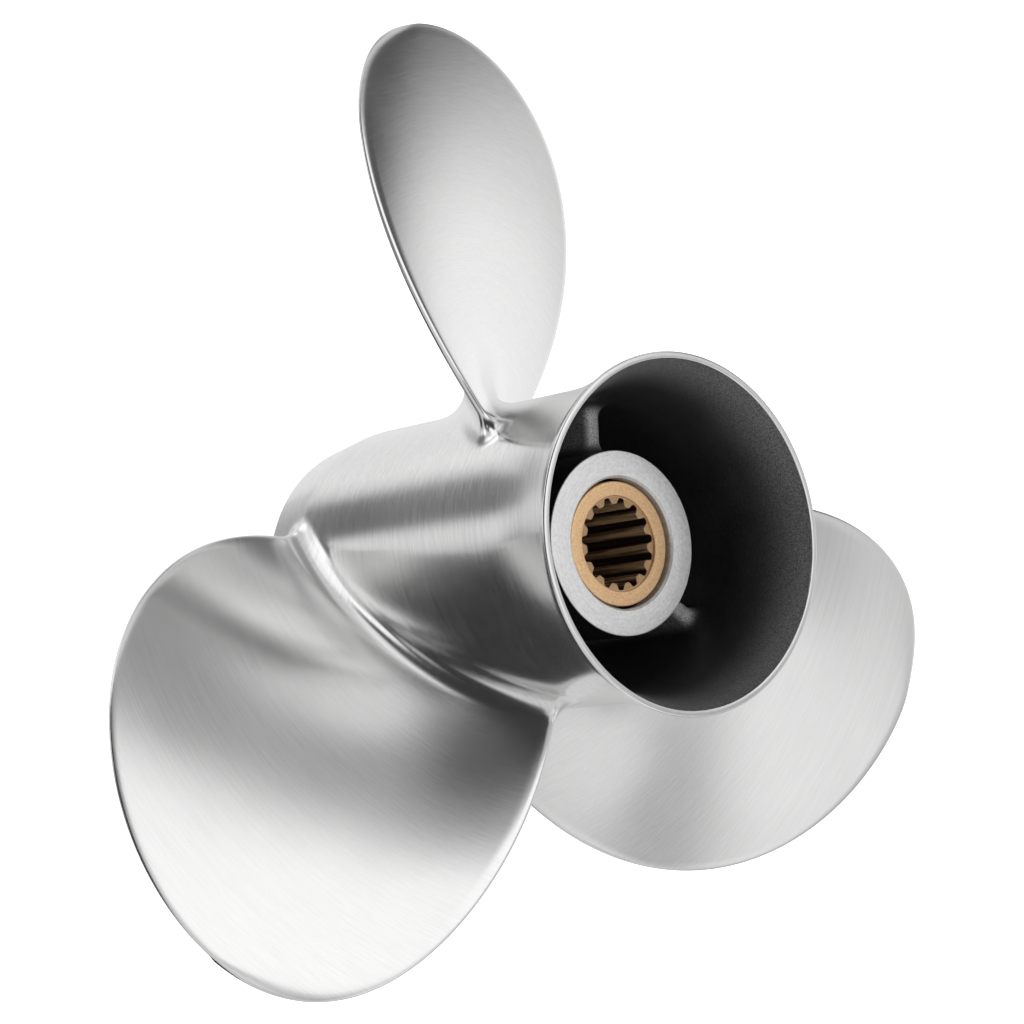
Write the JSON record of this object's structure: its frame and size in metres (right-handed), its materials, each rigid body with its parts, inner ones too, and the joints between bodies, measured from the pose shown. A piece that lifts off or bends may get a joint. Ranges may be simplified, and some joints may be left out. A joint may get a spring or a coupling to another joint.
{
  "type": "boat propeller",
  "caption": "Stainless steel boat propeller: wide rounded blades on a flared barrel that the exhaust passes through, with a rubber-bushed brass sleeve and splined bore.",
  "frame": {"origin": "the propeller's balance point, its centroid, on the shaft axis", "axes": "+Z along the shaft axis, pointing aft out of the flared mouth; +X through the root of blade 1 at mid chord"},
  "size_m": [0.3245, 0.3471, 0.1695],
  "materials": {
    "satin_stainless": "satin, brushed round the shaft axis",
    "black_rubber": "matt moulded rubber",
    "pale_brass": "fine machined face"
  },
  "bodies": {
    "root": {"propeller_casting": "satin_stainless", "rubber_bush": "black_rubber", "spline_sleeve": "pale_brass"}
  },
  "joints": []
}
